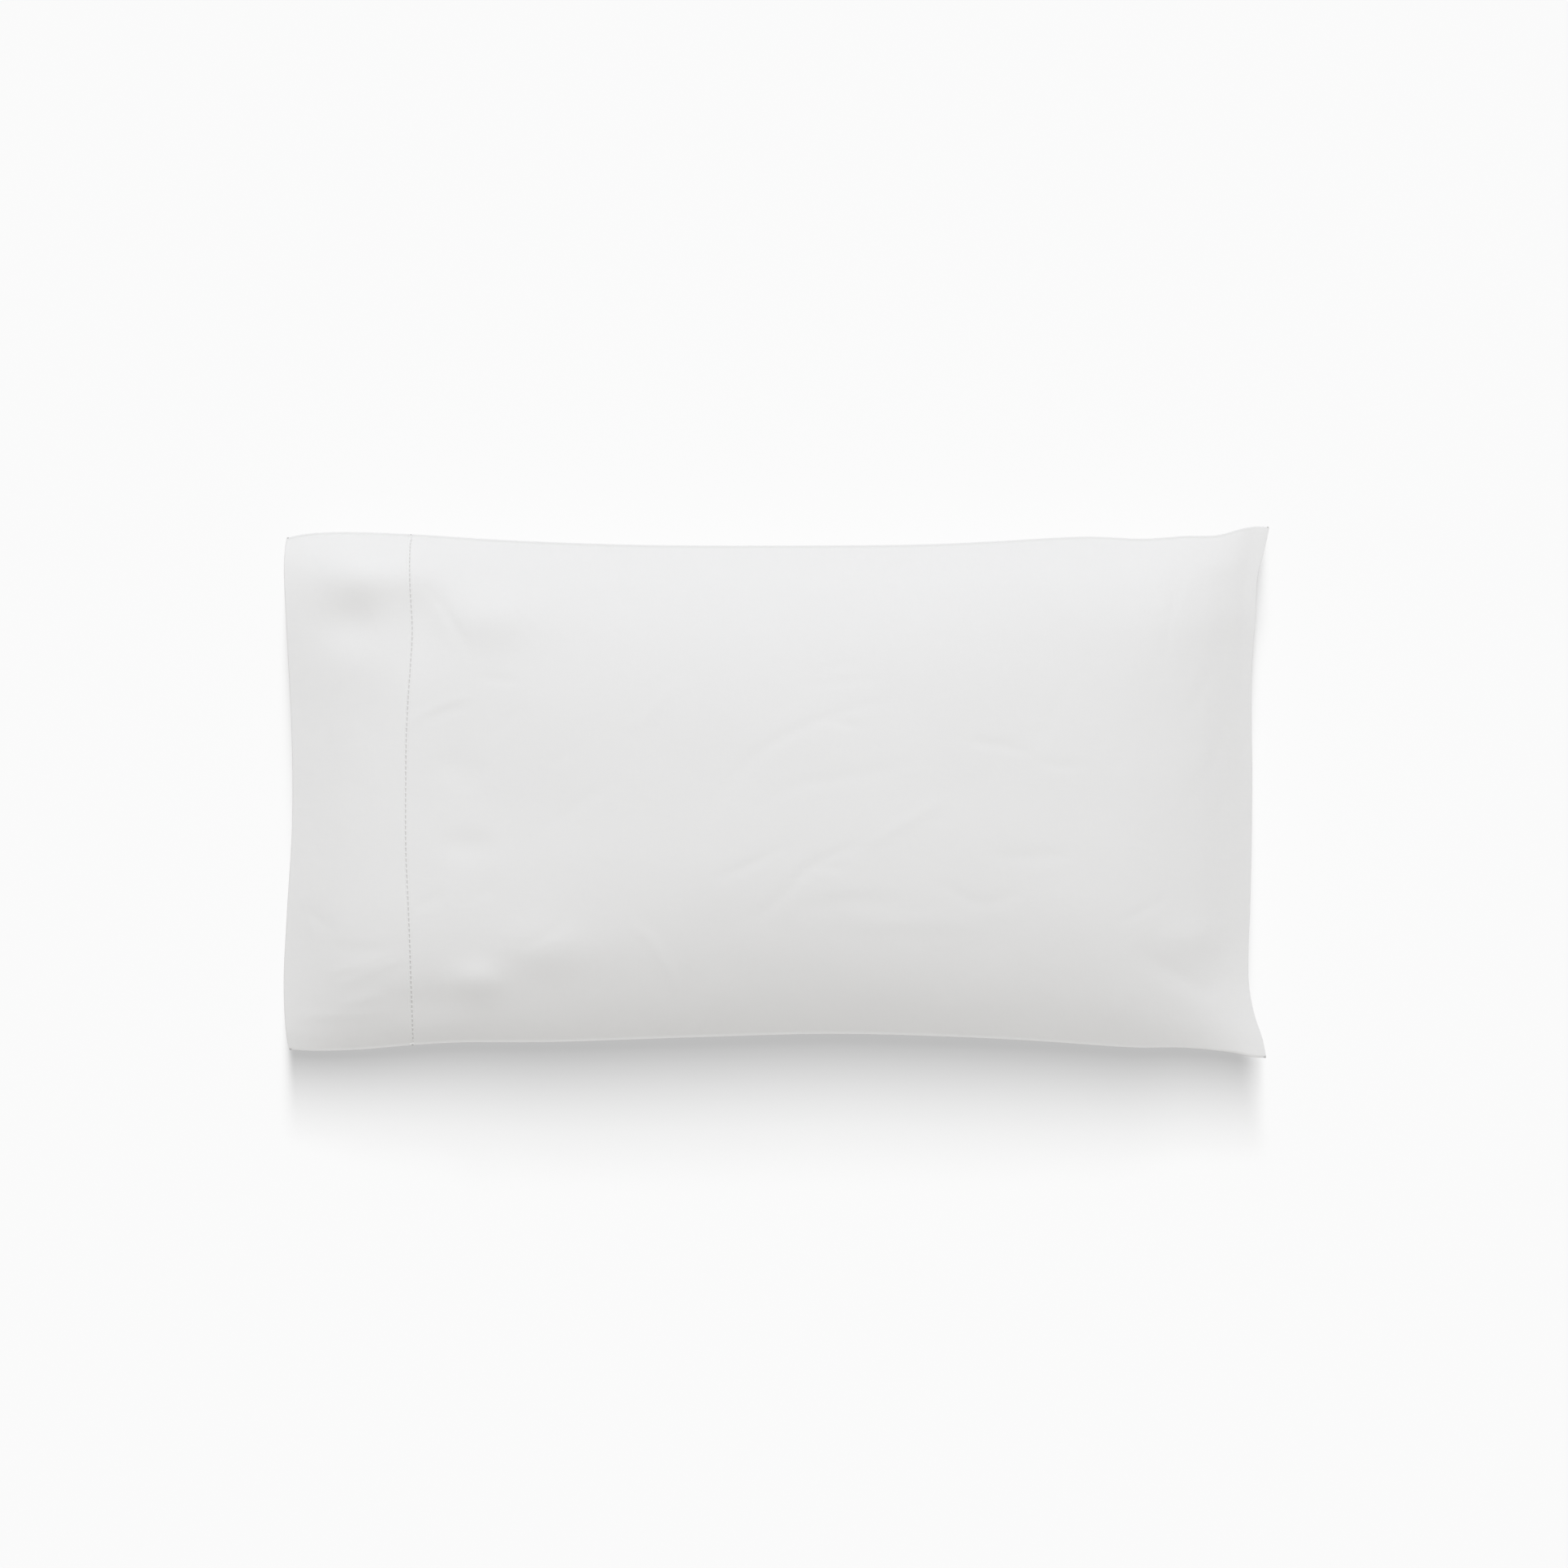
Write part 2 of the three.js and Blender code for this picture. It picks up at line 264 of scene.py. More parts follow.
# Soft folds of the under cloth, from its sewn sides and corners down to the floor.
UNDER_CREASES = {
    # Along the front side.
    "fold from the front ear": (10, 2.6, ((444, -238), (412, -206), (378, -172))),
    "second fold from it": (8, 1.7, ((438, -222), (424, -186), (402, -152))),
    "ridge between the two": (9, -1.6, ((440, -231), (416, -196), (390, -162))),
    "first front fold": (9, 1.7, ((352, -228), (338, -198), (320, -164))),
    "second front fold": (7, 1.2, ((284, -229), (281, -202), (270, -172))),
    "third front fold": (12, 2.2, ((212, -228), (222, -196), (238, -158))),
    "fourth front fold": (8, 1.3, ((128, -225), (121, -200), (118, -174))),
    "fifth front fold": (12, 1.9, ((42, -223), (52, -192), (66, -160))),
    "sixth front fold": (7, 1.1, ((-28, -224), (-30, -202), (-39, -178))),
    "seventh front fold": (10, 1.8, ((-98, -226), (-88, -196), (-84, -160))),
    "eighth front fold": (8, 1.3, ((-168, -229), (-177, -204), (-182, -174))),
    "ninth front fold": (12, 2.2, ((-240, -230), (-229, -200), (-212, -162))),
    # Along the back side.
    "fold from the back ear": (10, 2.6, ((448, 240), (414, 210), (382, 178))),
    "second fold from it, behind": (8, 1.6, ((440, 224), (427, 190), (404, 156))),
    "ridge between them, behind": (9, -1.6, ((443, 232), (418, 200), (392, 168))),
    "first back fold": (8, 1.4, ((330, 232), (322, 206), (312, 178))),
    "second back fold": (11, 2.1, ((256, 231), (268, 200), (280, 168))),
    "third back fold": (8, 1.3, ((176, 230), (170, 206), (166, 180))),
    "fourth back fold": (12, 2, ((86, 227), (94, 198), (110, 168))),
    "fifth back fold": (7, 1.1, ((12, 226), (6, 204), (2, 182))),
    "sixth back fold": (10, 1.8, ((-64, 227), (-76, 200), (-82, 168))),
    "seventh back fold": (8, 1.3, ((-150, 229), (-148, 206), (-140, 180))),
    "eighth back fold": (11, 2, ((-226, 232), (-216, 204), (-202, 172))),
    # Along the closed end.
    "end fold at the front": (9, 1.6, ((440, -92), (420, -96), (392, -104))),
    "end fold in the middle": (11, 1.9, ((441, 8), (418, 2), (388, -2))),
    "end fold at the back": (8, 1.5, ((440, 108), (421, 112), (396, 121))),
}

# Slow unevenness of the whole skin, as waves: the length of each, its heading in degrees, its phase
# in degrees and its height.
WAVES = (
    (211, 17, 40, 0.18),
    (163, 104, 200, 0.16),
    (127, 58, 310, 0.13),
    (94, 141, 75, 0.1),
    (71, 83, 150, 0.07),
    (52, 33, 20, 0.05),
)


def length_field(name, description, millimetres, least=0):
    """A setting for a length, which is kept in metres, like the least that it can be."""
    return FloatProperty(
        name=name, description=description, default=millimetres * MM, min=least, unit="LENGTH")


def angle_field(name, description, degrees):
    """A setting for an angle, which is kept in radians."""
    return FloatProperty(
        name=name, description=description, default=math.radians(degrees), min=0, subtype="ANGLE")


def strength_field(name, description, default):
    """A setting for the strength of a light."""
    return FloatProperty(name=name, description=description, default=default, min=0)


def colour_field(name, description, default):
    """A setting for a colour."""
    return FloatVectorProperty(
        name=name, description=description, default=default, min=0, max=1, subtype="COLOR")


class CaseSizes(bpy.types.PropertyGroup):
    """Sizes of the case, in metres."""

    seam_width: length_field("Seam Width", "How far the flat edge of a sewn side stands out", 1.4)
    edge_droop: angle_field("Edge Droop", "How far that edge hangs down along the front side", 24)
    seam_thickness: length_field("Seam Thickness", "Thickness of that edge", 1.4)
    hem_depth: length_field("Hem Depth", "Flat distance from the mouth to the hemstitch", 118)
    hem_thickness: length_field("Hem Thickness", "Thickness of the turned hem", 1.6)
    cuff_depth: length_field("Cuff Depth", "Distance from the mouth to the pillow", 142)
    stitch_pitch: length_field(
        "Stitch Pitch", "Distance from one hemstitch hole to the next", 5, least=0.001)
    along_steps: IntProperty(
        name="Steps Along", description="Divisions of the cloth along the case", default=250, min=20)
    across_steps: IntProperty(
        name="Steps Across", description="Divisions of the cloth across the case", default=150, min=20)


class ClothFinish(bpy.types.PropertyGroup):
    """Colours and fineness of the cloth and its thread, with painted shade for holes and knots."""

    cotton: colour_field("Cotton", "Colour of the bleached cloth", (0.785, 0.785, 0.785))
    # Painted shade: the hemstitch's holes get this darker cloth colour in place of the shade that falls
    # into them.
    hole_painted_shade: colour_field(
        "Hole Shade", "Colour of the shaded cloth seen in the hemstitch's holes", (0.66, 0.66, 0.65))
    ticking: colour_field(
        "Ticking", "Colour of the pillow's own cover, down the mouth", (0.76, 0.75, 0.73))
    # Painted shade: the knots' thread is white, and this grey stands in for the shade at the ends of
    # the seams.
    thread: colour_field("Thread", "Colour of the knots at the seams' ends", (0.5, 0.5, 0.49))
    yarn_pitch: length_field(
        "Yarn Pitch", "Distance from one yarn of the weave to the next", 0.28, least=0.00001)
    yarn_height: length_field("Yarn Height", "How far a yarn stands up from the weave", 0.05)
    rumple_height: length_field("Rumple Height", "Height of the fine rumples left by the iron", 0.35)


class StudioSetup(bpy.types.PropertyGroup):
    """The floor, the light and the camera."""

    floor: colour_field("Floor", "Colour of the floor", (0.05, 0.05, 0.05))
    floor_glow: strength_field(
        "Floor Glow", "Light that the floor gives off, as a light table does", 0.5)
    strip_lamps: IntProperty(
        name="Strip Lamps", description="Number of lamps in the strip over the floor", default=7, min=2)
    strip_strength: strength_field("Strip Strength", "Light of the strip on the floor", 27.4)
    strip_spread: angle_field("Strip Spread", "How broad each of its lamps looks from the floor", 9)
    strip_start: angle_field("Strip Start", "How far its first lamp leans from overhead", 11)
    strip_end: angle_field("Strip End", "How far its last lamp leans from overhead", 59)
    backdrop: strength_field("Backdrop", "Brightness beyond the floor", 0.95)
    fill_strength: strength_field("Fill Strength", "Light from the wide lamp overhead", 1.87)
    fill_spread: angle_field("Fill Spread", "How broad that lamp looks from the case", 170)
    fill_colour: colour_field("Fill Colour", "Colour of that lamp", (1, 0.98, 0.941))
    key_strength: strength_field("Key Strength", "Light from the broad soft lamp behind the case", 1.67)
    key_spread: angle_field("Key Spread", "How broad that lamp looks from the case", 70)
    key_lean: angle_field("Key Lean", "How far that lamp leans from overhead", 33)
    key_colour: colour_field("Key Colour", "Colour of that lamp", (0.931, 0.954, 1))
    lens: FloatProperty(
        name="Lens", description="Focal length of the camera", default=200, min=1, unit="CAMERA")
    view_width: length_field(
        "View Width", "Width of what the camera sees, at the height of the seams", 1458.7, least=0.01)


# ---- Curves and tables ----


def run_along(places):
    """How far each place lies along the line through them all."""
    return np.append(0, np.cumsum(np.linalg.norm(np.diff(places, axis=0), axis=1)))


def smooth_curve(points, samples=64):
    """Places along a curve through the points, and each one's share of the curve's length.

    Each piece is a cubic, whose slopes at its two ends are those of the parabolas through
    neighbouring points, timed by the square root of the distance between them.
    """
    points = np.asarray(points, float)
    ends = 2 * points[[0, -1]] - points[[1, -2]]
    chain = np.vstack([ends[:1], points, ends[1:]])
    step = np.linalg.norm(np.diff(chain, axis=0), axis=1)[:, None] ** 0.5
    p0, p1, p2, p3 = chain[:-3], chain[1:-2], chain[2:-1], chain[3:]
    s0, s1, s2 = step[:-2], step[1:-1], step[2:]
    leave = s1 * ((p1 - p0) / s0 - (p2 - p0) / (s0 + s1) + (p2 - p1) / s1)
    arrive = s1 * ((p2 - p1) / s1 - (p3 - p1) / (s1 + s2) + (p3 - p2) / s2)
    t = np.linspace(0, 1, samples, endpoint=False)[:, None, None]
    square = 3 * (p2 - p1) - 2 * leave - arrive
    cube = 2 * (p1 - p2) + leave + arrive
    places = p1 + leave * t + square * t**2 + cube * t**3
    places = np.vstack([places.transpose(1, 0, 2).reshape(-1, points.shape[1]), points[-1:]])
    length = run_along(places)
    return places, length / length[-1]


def on_curve(curve, share):
    """The place at each share of the curve's length, between its closely spaced places."""
    places, shares = curve
    return np.stack([np.interp(share, shares, column) for column in places.T], -1)


def read_table(rows, columns, name, x):
    """A column of a table whose first column falls, read at x.

    Between two rows it is a cubic, whose slope at each row is the mean slope of its neighbours.
    """
    table = np.array(rows, float)
    places, values = table[:, 0], table[:, columns.index(name)]
    before = np.maximum(np.arange(len(places)) - 1, 0)
    after = np.minimum(np.arange(len(places)) + 1, len(places) - 1)
    slopes = (values[after] - values[before]) / (places[after] - places[before])
    i = np.clip(np.searchsorted(-places, -x) - 1, 0, len(places) - 2)
    span = places[i + 1] - places[i]
    t = np.clip((x - places[i]) / span, 0, 1)
    start = values[i] * (1 + 2 * t) + slopes[i] * span * t
    end = values[i + 1] * (3 - 2 * t) - slopes[i + 1] * span * (1 - t)
    return start * (1 - t) ** 2 + end * t**2


def side_curve(rows, sign):
    """A long side's curve from its table, at the back with sign 1 and at the front with sign -1."""
    return smooth_curve([(x, sign * (WIDTH / 2 - drawn), up) for x, drawn, up in rows])


def end_curve(rows, sign, front_corner, back_corner):
    """An end's curve from its table, between the two corners, closed with sign 1 and open with -1."""
    middle = [(sign * (LENGTH / 2 - drawn), y, up) for y, drawn, up in rows]
    return smooth_curve([front_corner, *middle, back_corner])


FRONT = side_curve(FRONT_SIDE, -1)
BACK = side_curve(BACK_SIDE, 1)
CLOSED = end_curve(CLOSED_END, 1, FRONT[0][0], BACK[0][0])
OPEN = end_curve(MOUTH, -1, FRONT[0][-1], BACK[0][-1])


# ---- The shape of the cloth ----


def bell(distance, reach):
    """e to the power of minus the square of the distance over the reach: one at no distance."""
    return np.exp(-((distance / reach) ** 2))


def seam_plane(u, v):
    """The surface that the four edges alone span, at shares u along and v across.

    It is the sum of the surface ruled between the two sides and that ruled between the two
    ends, less the one ruled between the four corners.
    """
    u, v = np.broadcast_arrays(np.asarray(u, float), np.asarray(v, float))
    s = ((v + 1) / 2)[..., None]
    t = u[..., None]
    sides = on_curve(FRONT, u) * (1 - s) + on_curve(BACK, u) * s
    ends = on_curve(CLOSED, s[..., 0]) * (1 - t) + on_curve(OPEN, s[..., 0]) * t
    closed_corners = CLOSED[0][0] * (1 - s) + CLOSED[0][-1] * s
    open_corners = OPEN[0][0] * (1 - s) + OPEN[0][-1] * s
    return sides + ends - closed_corners * (1 - t) - open_corners * t


def swells(x, y):
    """The sum of the table's bell-shaped bumps."""
    total = np.zeros_like(x)
    for middle_x, middle_y, along, across, rise in SWELLS.values():
        total += rise * bell(x - middle_x, along) * bell(y - middle_y, across)
    return total


def creases(x, y, table):
    """A bell-shaped trough along each crease's curve, which fades out towards both its ends."""
    total = np.zeros_like(x)
    for width, depth, points in table.values():
        path, share = smooth_curve(points, samples=40)
        reach = 3 * width
        low = path.min(0) - reach
        high = path.max(0) + reach
        near = (x > low[0]) & (x < high[0]) & (y > low[1]) & (y < high[1])
        gaps = np.hypot(x[near][:, None] - path[:, 0], y[near][:, None] - path[:, 1])
        nearest = gaps.argmin(1)
        fade = np.sin(np.pi * share[nearest]) ** 0.7
        total[near] -= depth * fade * bell(gaps.min(1), width)
    return total


def waves(x, y):
    """The sum of the table's long sine waves."""
    total = np.zeros_like(x)
    for length, heading, phase, height in WAVES:
        turn = math.radians(heading)
        run = x * math.cos(turn) + y * math.sin(turn)
        total += height * np.sin(2 * np.pi * run / length + math.radians(phase))
    return total


def seam_puckers(x, inside, side):
    """Short waves along a sewn side, which the thread draws up and which die away into the cloth.

    Two slow waves push them to and fro, and a third makes them weaker and stronger.
    """
    height = 0.28
    reach = 11
    length = 3.1
    drift = 2.1 * np.sin(x / 61 + side) + 1.3 * np.sin(x / 23 - 2 * side)
    ripple = np.sin(x / length + drift) * (0.6 + 0.4 * np.sin(x / 37 + 2 * side))
    return height * ripple * np.exp(-inside / reach)


def on_floor(z, softness=9.0):
    """What lies lower than the floor is pressed up to it, with a parabola where it leaves it."""
    lifted = (z + softness) ** 2 / (4 * softness)
    return np.where(z <= -softness, 0, np.where(z >= softness, z, lifted))


class Cloth:
    """One layer of the case: the upper cloth, with sign 1, or the under cloth, with sign -1."""

    # How much longer the cloth is than the case's box.
    slack = 10
    # The groove that the hemstitch lies in.
    groove_depth = 1.3
    groove_reach = 1.3
    # How far from the hemstitch the cloth drifts with it, and at how many places that is read.
    drift_reach = 55
    drift_samples = 201
    # How fast the relief comes in from the sewn sides and the closed end, and how fast the
    # puckers and the groove come in from the sides.
    relief_rate = 3
    end_rate = 30
    pucker_rate = 12
    groove_rate = 20
    # The under cloth has the upper one's waves, but from another place.
    under_shift = (90, -70)

    def __init__(self, sizes, sign):
        self.sign = sign
        self.flat_edge = sizes.seam_width / MM
        self.edge_droop = math.tan(sizes.edge_droop)
        self.edge = sizes.seam_thickness / MM
        self.hem_share = 1 - sizes.hem_depth / MM / (LENGTH + self.slack)
        self.across = np.linspace(-1, 1, self.drift_samples)
        hem = seam_plane(self.hem_share, self.across)
        self.drift = hem[:, 0] - read_table(HEM_LINE, HEM_COLUMNS, "x", hem[:, 1])

    def skin(self, u, v, groove=True):
        """The outside of the cloth, from the plane of the seams.

        It stands off that plane by the section's height times one less the power of the place
        across, and flattens at the sewn sides. Swells, creases and waves are added to that, and
        what would lie lower than the floor is pressed flat.
        """
        point = seam_plane(u, v)
        u, v = np.broadcast_arrays(np.asarray(u, float), np.asarray(v, float))
        x = point[..., 0].copy()
        y = point[..., 1].copy()
        middle = seam_plane(u, 0)[..., 0]
        half_width = np.abs(seam_plane(u, np.sign(v) + (v == 0))[..., 1])
        across = np.clip(np.abs(v) / (1 - self.flat_edge / half_width), 0, 1)
        full = np.where(v < 0, read_table(SECTIONS, SECTION_COLUMNS, "front", middle),
                        read_table(SECTIONS, SECTION_COLUMNS, "back", middle))
        share = 1 - across**full
        from_hem = (u - self.hem_share) * LENGTH
        if self.sign > 0:
            point[..., 0] -= np.interp(v, self.across, self.drift) * bell(from_hem, self.drift_reach)
            rise = read_table(SECTIONS, SECTION_COLUMNS, "rise", middle) + swells(x, y)
            relief = creases(x, y, CREASES) + waves(x, y)
        else:
            rise = read_table(SECTIONS, SECTION_COLUMNS, "drop", middle)
            shift_x, shift_y = self.under_shift
            relief = creases(x, y, UNDER_CREASES) + waves(x + shift_x, y + shift_y)
        relief = relief * np.clip(share * self.relief_rate, 0, 1) * np.clip(u * self.end_rate, 0, 1)
        puckers = seam_puckers(x, (1 - across) * half_width, np.sign(v))
        relief += puckers * np.clip(share * self.pucker_rate, 0, 1)
        if groove:
            dip = self.groove_depth * bell(from_hem, self.groove_reach)
            relief -= dip * np.clip(share * self.groove_rate, 0, 1)
        height = self.edge / 2 + share * rise + relief
        point[..., 2] += self.sign * height
        edge = np.clip((np.abs(v) - 1) * half_width + self.flat_edge, 0, None)
        point[..., 2] -= np.where(v < 0, self.edge_droop * edge, 0)
        if self.sign < 0:
            point[..., 2] = on_floor(point[..., 2])
        return point


def crowd(count, start, end, places, reach, gain, samples=4001):
    """Numbers from start to end, closer together by the gain near each of the places."""
    fine = np.linspace(start, end, samples)
    density = 1 + sum(gain * bell(fine - place, reach) for place in places)
    run = np.append(0, np.cumsum((density[1:] + density[:-1]) / 2))
    return np.interp(np.linspace(0, 1, count + 1), run / run[-1], fine)


def cuff_inside(r, v, cloth, sizes):
    """The inside of the cuff, r of the way from the mouth to the pillow, v across the hollow.

    It is the outside moved in by the thickness of the wall, which drops to that of one cloth
    past the hem. Towards the sides it closes on the plane of the seams.
    """
    corner_depth = 26
    hollow_share = 0.955
    hem_margin = 3
    hem_softness = 0.6
    turned_in = 1.0
    closing_power = 14
    r, v = np.broadcast_arrays(np.asarray(r, float), np.asarray(v, float))
    depth = r * (sizes.cuff_depth / MM + corner_depth * v**4)
    u = 1 - depth / LENGTH
    in_v = v * hollow_share
    seam = seam_plane(u, in_v)
    lift = cloth.skin(u, in_v, groove=False) - seam
    past_hem = 1 / (1 + np.exp(-(depth - sizes.hem_depth / MM - hem_margin) / hem_softness))
    wall = sizes.hem_thickness / MM - turned_in * past_hem
    lift[..., 2] = cloth.sign * np.maximum(cloth.sign * lift[..., 2] - wall, 0)
    return seam + lift * (1 - np.abs(v) ** closing_power)[..., None]


# ---- Meshes ----


def flat_places(points):
    """How far each point lies over the surface: along its row, and from the middle row."""
    along = np.linalg.norm(np.diff(points, axis=1), axis=2)
    across = np.linalg.norm(np.diff(points, axis=0), axis=2)
    along = np.concatenate([np.zeros((len(points), 1)), np.cumsum(along, 1)], 1)
    across = np.concatenate([np.zeros((1, points.shape[1])), np.cumsum(across, 0)], 0)
    return np.stack([along, across - across[len(points) // 2]], -1)


def grid_faces(rows, columns, first):
    """Four-sided faces of a grid, facing the step down its rows crossed with that along a row."""
    i, j = np.meshgrid(np.arange(rows - 1), np.arange(columns - 1), indexing="ij")
    near = i * columns + j
    far = near + columns
    return first + np.stack([near, far, far + 1, near + 1], -1).reshape(-1, 4)


def make_piece(name, grids, materials):
    """One closed mesh from grids of points in millimetres, joined where their edges meet.

    With each grid goes the number of its material, or one for each of its faces. The UV of a
    point is its flat place on the cloth, in metres.
    """
    points = []
    places = []
    faces = []
    numbers = []
    first = 0
    for grid, number in grids:
        grid = np.asarray(grid, float)
        points.append(grid.reshape(-1, 3))
        places.append(flat_places(grid).reshape(-1, 2))
        faces.append(grid_faces(grid.shape[0], grid.shape[1], first))
        numbers.append(np.broadcast_to(np.ravel(number), len(faces[-1])))
        first += len(points[-1])
    points = np.vstack(points) * MM
    places = np.vstack(places) * MM
    faces = np.vstack(faces)
    numbers = np.concatenate(numbers)
    mesh = bpy.data.meshes.new(name)
    mesh.from_pydata(points, [], faces)
    mesh.polygons.foreach_set("material_index", numbers.astype(np.int32))
    layer = mesh.uv_layers.new(name="flat_cloth")
    layer.data.foreach_set("uv", places[faces.ravel()].astype(np.float32).ravel())
    for material in materials:
        mesh.materials.append(material)
    close_mesh(mesh)
    return add_object(name, mesh)


def add_object(name, data):
    """A new object in the scene."""
    thing = bpy.data.objects.new(name, data)
    bpy.context.scene.collection.objects.link(thing)
    return thing


def close_mesh(mesh, join_within=0.002, drop_under=0.0005):
    """Joins the points that grids share, shades the skin smooth and insists that it is closed."""
    skin = bmesh.new()
    skin.from_mesh(mesh)
    bmesh.ops.remove_doubles(skin, verts=skin.verts, dist=join_within * MM)
    bmesh.ops.dissolve_degenerate(skin, edges=skin.edges, dist=drop_under * MM)
    open_edges = sum(not edge.is_manifold for edge in skin.edges)
    if open_edges or skin.calc_volume(signed=True) <= 0:
        raise RuntimeError(f"{mesh.name} has {open_edges} open edges or is inside out")
    for face in skin.faces:
        face.smooth = True
    skin.to_mesh(mesh)
    skin.free()


def finish_piece(piece):
    """Lets the piece ride on the body."""
    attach(piece, BODY)
    return piece


# ---- Materials ----


class Nodes:
    """A short way to build a material's node tree."""

    def __init__(self, name):
        self.material = bpy.data.materials.new(name)
        self.material.use_nodes = True
        self.tree = self.material.node_tree
        self.shader = self.tree.nodes["Principled BSDF"]

    def feed(self, node, inputs):
        """Links each input of the node to a socket, or sets it to a value."""
        for key, value in inputs.items():
            if isinstance(value, bpy.types.NodeSocket):
                self.tree.links.new(value, node.inputs[key])
            else:
                node.inputs[key].default_value = value

    def add(self, kind, inputs=None, **settings):
        """A new node of the kind, with its settings and its inputs."""
        node = self.tree.nodes.new(kind)
        for key, value in settings.items():
            setattr(node, key, value)
        self.feed(node, inputs or {})
        return node

    def maths(self, operation, first, second):
        """The result of a maths node."""
        return self.add("ShaderNodeMath", {0: first, 1: second}, operation=operation).outputs[0]

    def mix(self, factor, first, second):
        """A colour between two. The sockets go by number, because they share their names."""
        inputs = {0: factor, 6: (*first, 1), 7: (*second, 1)}
        return self.add("ShaderNodeMix", inputs, data_type="RGBA").outputs[2]

    def flat_cloth(self):
        """The place on the flat cloth, in metres."""
        return self.add("ShaderNodeUVMap", uv_map="flat_cloth").outputs[0]

    def in_space(self):
        """The place in the object's own space, in metres."""
        return self.add("ShaderNodeTexCoord").outputs["Object"]

    def noise(self, where, scale, detail, stretch=(1, 1, 1), roughness=0.5, distortion=0.0):
        """Smooth noise from 0 to 1, finer along an axis by its stretch."""
        place = self.add("ShaderNodeMapping", {"Vector": where, "Scale": stretch}).outputs[0]
        inputs = {"Vector": place, "Scale": scale, "Detail": detail, "Roughness": roughness,
                  "Distortion": distortion}
        return self.add("ShaderNodeTexNoise", inputs).outputs["Fac"]

    def bands(self, where, scale, direction, distortion=0.0):
        """Straight bands, as a wave from 0 to 1."""
        inputs = {"Vector": where, "Scale": scale, "Distortion": distortion}
        wave = self.add("ShaderNodeTexWave", inputs, wave_type="BANDS", bands_direction=direction)
        return wave.outputs["Fac"]

    def bump(self, height, distance, strength=1.0, normal=None):
        """A normal tilted by the height, on top of another one where that is given."""
        inputs = {"Height": height, "Distance": distance, "Strength": strength}
        if normal is not None:
            inputs["Normal"] = normal
        return self.add("ShaderNodeBump", inputs).outputs[0]

    def finish(self, inputs):
        """The material, once the shader has its inputs."""
        self.feed(self.shader, inputs)
        return self.material


def woven_cotton(name, colour, finish, rumple=1.0):
    """Plain weave from two crossed waves, with uneven yarns, slubs, faint rumples and a soft sheen."""
    yarns_in_turn = 2
    wave_factor = 20
    wander_reach = 0.6 * MM
    slub_length = 45
    slub_width = 1800
    slub_height = 0.8
    yarn_strength = 0.6
    crinkle_share = 0.14
    tone_share = 0.02
    tone_gain = 14.0
    lighter = 1.02
    darker = 0.965
    nodes = Nodes(name)
    flat = nodes.flat_cloth()
    solid = nodes.in_space()

    # The weave. The wave texture multiplies its scale by a factor of its own.
    turns = 2 * math.pi / (wave_factor * yarns_in_turn * finish.yarn_pitch)
    wander = nodes.maths("MULTIPLY", nodes.noise(flat, scale=90, detail=2), wander_reach)
    aside = nodes.add("ShaderNodeCombineXYZ", {0: wander, 1: wander}).outputs[0]
    wobble = nodes.add("ShaderNodeVectorMath", {0: flat, 1: aside}, operation="ADD").outputs[0]
    warp = nodes.bands(wobble, turns, "X")
    weft = nodes.bands(wobble, turns, "Y")
    over = nodes.maths("ABSOLUTE", nodes.maths("SUBTRACT", warp, weft), 0.0)
    slub_along = nodes.noise(flat, scale=1, detail=2, stretch=(slub_length, slub_width, 1))
    slub_across = nodes.noise(flat, scale=1, detail=2, stretch=(slub_width, slub_length, 1))
    slubs = nodes.maths("ADD", slub_along, slub_across)
    yarns = nodes.maths("ADD", over, nodes.maths("MULTIPLY", slubs, slub_height))

    # The rumples that the iron left, with a finer crinkle and then the yarns on top.
    rumples = nodes.noise(
        solid, scale=34, detail=3, stretch=(1, 1, 0.6), roughness=0.45, distortion=0.6)
    crinkle = nodes.noise(solid, scale=120, detail=2, stretch=(0.7, 1, 0.7))
    rumple_bump = nodes.bump(rumples, finish.rumple_height * rumple)
    crinkle_bump = nodes.bump(
        crinkle, finish.rumple_height * crinkle_share * rumple, normal=rumple_bump)
    yarn_bump = nodes.bump(yarns, finish.yarn_height, strength=yarn_strength, normal=crinkle_bump)

    # The colour, which the slubs and a slow blotch make a little lighter or darker.
    blotch = nodes.noise(solid, scale=7, detail=3, roughness=0.6)
    slub_tone = nodes.maths("MULTIPLY", slubs, tone_share)
    tone = nodes.maths("ADD", slub_tone, nodes.maths("MULTIPLY", blotch, tone_share))
    light = [min(1, part * lighter) for part in colour]
    shade = [part * darker for part in colour]
    rough = nodes.add("ShaderNodeMapRange", {"Value": over, "To Min": 0.86, "To Max": 0.94}).outputs[0]
    return nodes.finish({
        "Base Color": nodes.mix(nodes.maths("MULTIPLY", tone, tone_gain), shade, light),
        "Roughness": rough,
        "Normal": yarn_bump,
        "Specular IOR Level": 0.22,
        "Sheen Weight": 0.12,
        "Sheen Roughness": 0.45,
    })


def spun_thread(name, colour):
    """Matt thread, with a fine twist in its bump. The knots take it in a grey that is painted shade."""
    nodes = Nodes(name)
    flat = nodes.flat_cloth()
    twist = nodes.bands(flat, 420.0, "DIAGONAL", distortion=1.5)
    shade = [part * 0.85 for part in colour]
    return nodes.finish({
        "Base Color": nodes.mix(nodes.noise(flat, scale=900, detail=2), shade, colour),
        "Roughness": 0.7,
        "Normal": nodes.bump(twist, 0.08 * MM),
    })


def studio_floor(colour, glow):
    """Even matt paper, with a faint mottle, which gives off light of its own."""
    nodes = Nodes("floor_paper")
    mottle = nodes.noise(nodes.in_space(), scale=3, detail=2)
    shade = [part * 0.995 for part in colour]
    return nodes.finish({
        "Base Color": nodes.mix(mottle, shade, colour),
        "Roughness": 0.95,
        "Specular IOR Level": 0.1,
        "Emission Color": (1, 1, 1, 1),
        "Emission Strength": glow,
    })


# ---- Pieces ----


